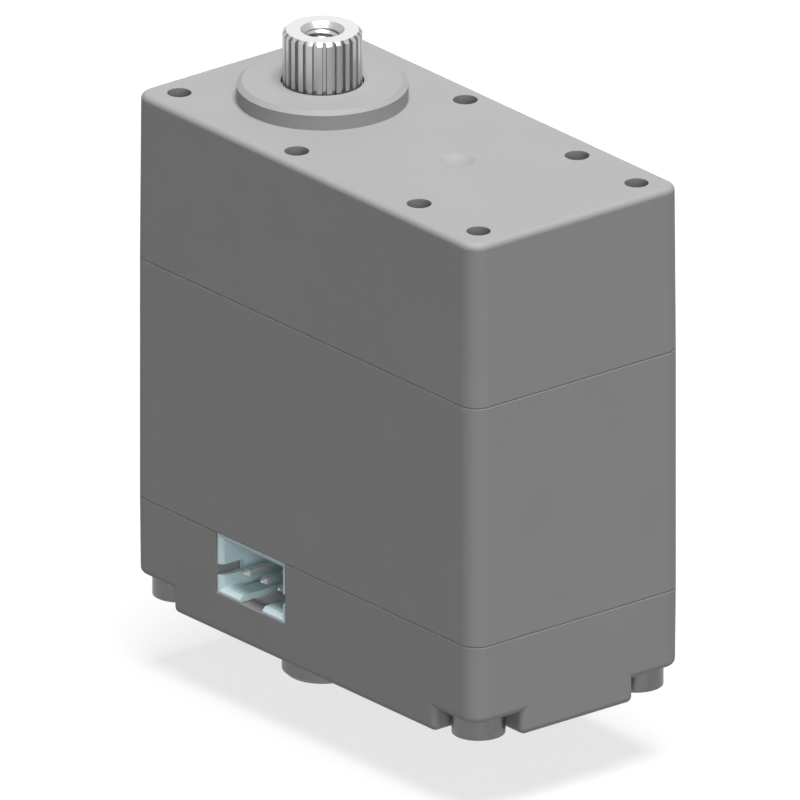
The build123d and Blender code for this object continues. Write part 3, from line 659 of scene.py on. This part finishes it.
plates_finish = striped(
    "pole_plates",
    shade_of(can_zinc, plate_gap_shade),
    can_zinc,
    plate_pitch,
    plate_height,
    smooth=0.3,
    rough=0.5,
    layout="BANDS",
)
wire_finish = striped(
    "copper",
    wire_gap,
    wire_copper,
    wire_pitch,
    wire_height,
    smooth=0.2,
    rough=0.4,
    layout="RINGS",
)
shaft_finish = turned("shaft_steel", shaft_steel, smooth=0.14, rough=0.24, axis_x=motor_axis)
brass_finish = turned("gear_brass", brass_yellow, smooth=0.2, rough=0.34, axis_x=motor_axis)
dress(plates_finish, "rotor_core")
dress(wire_finish, "rotor_coils", "commutator")
dress(shaft_finish, "motor_shaft")
dress(brass_finish, "motor_pinion")


# Gear pin and washers
# A ground steel pin, held in the deck and in the top case. The first and third gears turn on it,
# and a thin nylon washer at each end keeps them off the plastic.

washer_white = (0.74, 0.735, 0.70)
pin_axis = middle_x("gear_pin")
ground_finish = turned("ground_steel", shaft_steel, smooth=0.12, rough=0.2, axis_x=pin_axis)
washer_finish = moulded(
    "washer_plastic",
    washer_white,
    grain=0.0002,
    cloud=0.002,
    height=0.000003,
    smooth=0.35,
    rough=0.5,
)
dress(ground_finish, "gear_pin")
dress(washer_finish, "pin_washers")


# Compound gears
# Each is a large hobbed wheel pressed onto the neck of a steel pinion: brass wheels where the
# train runs fast, steel where it carries load. The second turns on the output shaft's stem.

gear_grey = (0.43, 0.43, 0.44)
pinion_steel = (0.50, 0.50, 0.51)
hobbed_brass = {"smooth": 0.2, "rough": 0.34}
hobbed_steel = {"smooth": 0.24, "rough": 0.38}
cut_steel = {"smooth": 0.2, "rough": 0.32}
brass_on_pin = turned("gear_brass_on_pin", brass_yellow, **hobbed_brass, axis_x=pin_axis)
brass_on_shaft = turned("gear_brass_on_shaft", brass_yellow, **hobbed_brass)
steel_on_pin = turned("gear_steel_on_pin", gear_grey, **hobbed_steel, axis_x=pin_axis)
steel_on_shaft = turned("gear_steel", gear_grey, **hobbed_steel)
pinion_on_pin = turned("pinion_steel_on_pin", pinion_steel, **cut_steel, axis_x=pin_axis)
pinion_on_shaft = turned("pinion_steel", pinion_steel, **cut_steel)
dress(brass_on_pin, "first_wheel")
dress(pinion_on_pin, "first_pinion", "third_pinion")
dress(brass_on_shaft, "second_wheel")
dress(pinion_on_shaft, "second_pinion")
dress(steel_on_pin, "third_wheel")
dress(steel_on_shaft, "output_wheel")


# Output shaft
# Turned in one piece from bright steel, with 25 teeth rolled round its end and an M3 thread in it
# for the horn's screw. The output wheel sits on two flats, and the magnet is glued to the far end.

spline_steel = (0.76, 0.76, 0.76)
spline_turning_height = 0.0000015
# The spline's sides are painted darker, at this share of the steel's tone, as painted shade, and
# its end that faces up is painted light.
spline_painted_side_shade = 0.66
horn_thread_gap = 0.00042
horn_thread_length = 0.0065
spline_finish = turned(
    "bright_steel",
    spline_steel,
    smooth=0.24,
    rough=0.38,
    height=spline_turning_height,
    sides=spline_painted_side_shade,
)
dress(spline_finish, "output_shaft")
horn_thread_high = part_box("output_shaft")[1].z - horn_thread_gap
horn_thread = thread(
    "horn_screw_thread",
    horn_thread_high - horn_thread_length,
    horn_thread_high,
    screw_hole_radius,
    -thread_ridge,
)
horn_thread.data.materials.append(spline_finish)
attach(horn_thread, "output")


# Ball bearing
# Two ground steel rings with a groove for eight balls between them, which a pressed cage keeps
# apart. It is pushed up into the boss of the top case and carries the output shaft.

ring_steel = (0.58, 0.58, 0.59)
ball_steel = (0.75, 0.75, 0.76)
ball_cloud = 0.001
cage_metal = (0.6, 0.58, 0.52)
ring_finish = turned("ring_steel", ring_steel, smooth=0.1, rough=0.18)
ball_finish = plated(
    "ball_steel",
    ball_steel,
    smooth=0.05,
    rough=0.1,
    cloud=ball_cloud,
    height=0.0,
)
cage_finish = plated("cage_metal", cage_metal, smooth=0.25, rough=0.4)
dress(ring_finish, "bearing_inner_ring", "bearing_outer_ring")
dress(ball_finish, "bearing_balls")
dress(cage_finish, "bearing_cage")


# Top case
# The upper layer of the case, in the same grey plastic, with the raised round boss over the
# bearing, the screw holes for a bracket and the shallow round dimple where the mould's gate was.

dress(case_plastic, "top_case")


# Case screws
# Four long M2 screws with flat cheese heads and a cross recess. They go up from the corner notches
# through all three layers of the case.

case_screw_steel = (0.15, 0.15, 0.152)
case_screw_cloud = 0.0004
screw_head_radius = 0.002
screw_core_radius = 0.00088
screw_ridge = 0.00012
screw_pitch = 0.0007
screw_thread_start = 0.0002
case_screw_finish = plated(
    "case_screw_steel",
    case_screw_steel,
    smooth=0.3,
    rough=0.46,
    cloud=case_screw_cloud,
)
dress(case_screw_finish, "case_screws")
screws_low, screws_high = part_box("case_screws")
screw_xs = (screws_low.x + screw_head_radius, screws_high.x - screw_head_radius)
screw_ys = (screws_low.y + screw_head_radius, screws_high.y - screw_head_radius)
screw_threads = thread(
    "case_screw_threads",
    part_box("top_case")[0].z + screw_thread_start,
    screws_high.z - screw_core_radius,
    screw_core_radius,
    screw_ridge,
    screw_pitch,
    axes=[(x, y) for x in screw_xs for y in screw_ys],
)
screw_threads.data.materials.append(case_screw_finish)
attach(screw_threads, "case")


# Studio
# A plain pale floor under the post, a white surround, a soft lamp almost overhead and a weaker
# one low on the camera's side. Nothing here belongs to the servo.

floor_side = 4.0
floor_white = (0.9, 0.9, 0.9, 1)
floor_bounce = (0.12, 0.12, 0.12, 1)
floor_glow = 0.75
surround_light = 0.06
key_strength = 4.71
key_spread = 32.0
key_tilt = 9.0
key_turn = 80.0
fill_strength = 1.0
fill_spread = 25.0
fill_tilt = 75.0
fill_turn = 60.5


def seen_directly(owner):
    """One for camera, glossy and transmission rays, and zero for the rays that light things."""
    rays = add(owner, "ShaderNodeLightPath")
    seen = rays.outputs["Is Camera Ray"]
    for kind in ("Is Glossy Ray", "Is Transmission Ray"):
        seen = maths(owner, "MAXIMUM", seen, rays.outputs[kind])
    return seen


def mixed(owner, share, first, second):
    """The first shader, and as much of the second as the share says."""
    node = add(owner, "ShaderNodeMixShader")
    if isinstance(share, bpy.types.NodeSocket):
        link(owner, share, node.inputs["Fac"])
    else:
        node.inputs["Fac"].default_value = share
    link(owner, first, node.inputs[1])
    link(owner, second, node.inputs[2])
    return node.outputs["Shader"]


half_floor = floor_side / 2
floor_z = cad_box[0].z
floor_corners = [
    (-half_floor, -half_floor, floor_z),
    (half_floor, -half_floor, floor_z),
    (half_floor, half_floor, floor_z),
    (-half_floor, half_floor, floor_z),
]
floor = made_piece("studio_floor", floor_corners, [(0, 1, 2, 3)])

# The floor looks almost white, lights the servo only a little, and can't be seen from below.
paint = bpy.data.materials.new("studio_floor")
paint.use_nodes = True
paint.node_tree.nodes.clear()
pale = add(paint, "ShaderNodeBsdfDiffuse", Color=floor_white).outputs["BSDF"]
dim = add(paint, "ShaderNodeBsdfDiffuse", Color=floor_bounce).outputs["BSDF"]
glow = add(paint, "ShaderNodeEmission", Color=(1, 1, 1, 1), Strength=1.0).outputs["Emission"]
clear = add(paint, "ShaderNodeBsdfTransparent").outputs["BSDF"]
underside = add(paint, "ShaderNodeNewGeometry").outputs["Backfacing"]
upper = mixed(paint, seen_directly(paint), dim, mixed(paint, floor_glow, pale, glow))
paint_out = add(paint, "ShaderNodeOutputMaterial")
link(paint, mixed(paint, underside, upper, clear), paint_out.inputs["Surface"])
floor.data.materials.append(paint)

surround = bpy.data.worlds.new("studio_surround")
surround.use_nodes = True
surround.node_tree.nodes.clear()
sky = add(surround, "ShaderNodeBackground", Color=(1, 1, 1, 1))
sky_strength = ranged(surround, seen_directly(surround), To__Min=surround_light)
sky_out = add(surround, "ShaderNodeOutputWorld")
link(surround, sky_strength, sky.inputs["Strength"])
link(surround, sky.outputs["Background"], sky_out.inputs["Surface"])
bpy.context.scene.world = surround


def soft_lamp(name, strength, spread, tilt, turn):
    """A far lamp with that spread, tilted from overhead and turned from the socket's side."""
    lamp_data = bpy.data.lights.new(name, "SUN")
    lamp_data.energy = strength
    lamp_data.angle = math.radians(spread)
    lamp = bpy.data.objects.new(name, lamp_data)
    bpy.context.scene.collection.objects.link(lamp)
    tilt, turn = math.radians(tilt), math.radians(turn)
    level = math.sin(tilt)
    to_lamp = Vector((level * math.sin(turn), -level * math.cos(turn), math.cos(tilt)))
    lamp.rotation_euler = to_lamp.to_track_quat("Z", "Y").to_euler()


soft_lamp("studio_key", key_strength, key_spread, key_tilt, key_turn)
soft_lamp("studio_fill", fill_strength, fill_spread, fill_tilt, fill_turn)


# Camera
# The photograph is a parallel view. These are its direction, its scale and the place in it of the
# frame's origin, which is on the output axis at the underside of the case.

photo_azimuth = math.radians(50.93)
photo_elevation = math.radians(22.04)
photo_side = 800
pixels_per_metre = 13565.0
origin_pixel = (322.4, 601.2)
camera_distance = 0.5

right = Vector((math.cos(photo_azimuth), math.sin(photo_azimuth), 0))
level_back = Vector((math.sin(photo_azimuth), -math.cos(photo_azimuth), 0))
back = level_back * math.cos(photo_elevation) + Vector((0, 0, math.sin(photo_elevation)))
up = back.cross(right)
centre_right = (photo_side / 2 - origin_pixel[0]) / pixels_per_metre
centre_up = (origin_pixel[1] - photo_side / 2) / pixels_per_metre
centre = right * centre_right + up * centre_up + back * camera_distance

camera_data = bpy.data.cameras.new("camera")
camera_data.type = "ORTHO"
camera_data.ortho_scale = photo_side / pixels_per_metre
camera = bpy.data.objects.new("camera", camera_data)
bpy.context.scene.collection.objects.link(camera)
facing_servo = Matrix((right, up, back)).transposed().to_4x4()
camera.matrix_world = Matrix.Translation(centre) @ facing_servo
bpy.context.scene.camera = camera
bpy.context.scene.view_settings.view_transform = "Standard"
